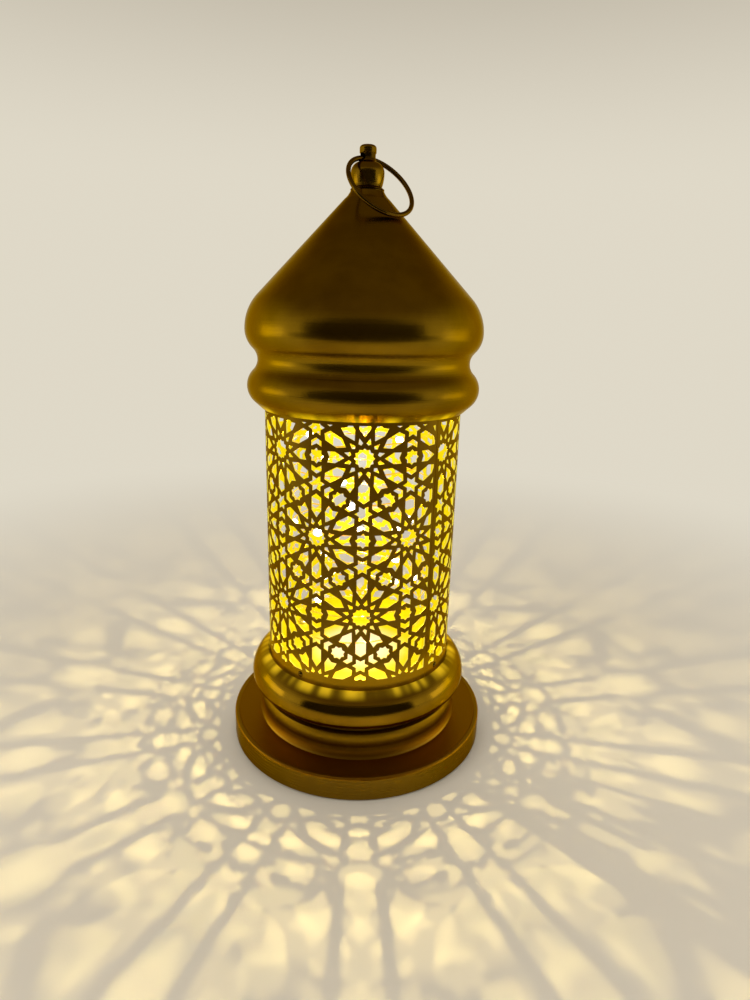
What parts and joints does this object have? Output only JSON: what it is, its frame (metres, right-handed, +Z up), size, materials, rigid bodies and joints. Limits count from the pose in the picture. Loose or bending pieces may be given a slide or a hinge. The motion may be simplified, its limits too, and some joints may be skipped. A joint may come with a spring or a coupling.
{
  "type": "fanous lantern",
  "caption": "Table lantern: round spun base, pierced star-pattern cylinder lit from inside by a coiled light string, lift-off conical dome with a knob and a hanging ring.",
  "frame": {"origin": "on the table, under the middle of the round base", "axes": "+Z up along the lantern's axis, -Y towards the viewer of the picture, +X to the right"},
  "size_m": [0.1206, 0.1206, 0.2611],
  "materials": {
    "base_gold": "glossy antique gold",
    "dome_gold": "satin antique gold",
    "sheet_gold": "satin antique gold",
    "seat_gold": "satin gold",
    "rivet_gold": "polished gold",
    "finial_gold": "polished antique gold",
    "ring_gold": "polished gold wire",
    "screw_steel": "zinc plated",
    "boss_metal": "satin",
    "cover_plastic": "fine grain black",
    "pad_rubber": "soft black",
    "cell_metal": "plain wrapped cell",
    "contact_steel": "nickel plated",
    "switch_plastic": "moulded black",
    "slider_plastic": "moulded ivory",
    "copper_wire": "lacquered copper",
    "lamp_resin": "clear resin over a lamp"
  },
  "bodies": {
    "base": {"pedestal": "base_gold", "pierced_cylinder": "sheet_gold", "cylinder_seat": "seat_gold", "seat_rivets": "rivet_gold", "seat_screws": "screw_steel", "seat_nuts": "screw_steel", "bottom_cover": "cover_plastic", "cover_bosses": "boss_metal", "cover_screws": "screw_steel", "foot_pads": "pad_rubber", "batteries": "cell_metal", "contact_plates": "contact_steel", "contact_springs": "contact_steel", "switch_body": "switch_plastic", "string_wire": "copper_wire", "led_beads": "lamp_resin", "deck_grommet": "pad_rubber"},
    "cap": {"dome": "dome_gold", "dome_ring": "seat_gold", "finial": "finial_gold", "finial_washer": "screw_steel", "finial_nut": "screw_steel"},
    "ring": {"hanging_ring": "ring_gold"},
    "door": {"battery_door": "cover_plastic"},
    "slider": {"switch_slider": "slider_plastic"}
  },
  "joints": [
    {"name": "dome_lift", "type": "slide", "parent": "base", "child": "cap", "axis": [0, 0, 1], "range_m": [0, 0.04]},
    {"name": "ring_swing", "type": "hinge", "parent": "cap", "child": "ring", "pos_m": [0, 0, 0.2563], "axis": [-0.809, -0.5878, 0], "range_deg": [0, 282]},
    {"name": "battery_door", "type": "hinge", "parent": "base", "child": "door", "pos_m": [0, -0.0231, 0.0027], "axis": [-1, 0, 0], "range_deg": [0, 90]},
    {"name": "switch_slide", "type": "slide", "parent": "base", "child": "slider", "axis": [1, 0, 0], "range_m": [0, 0.003]}
  ]
}
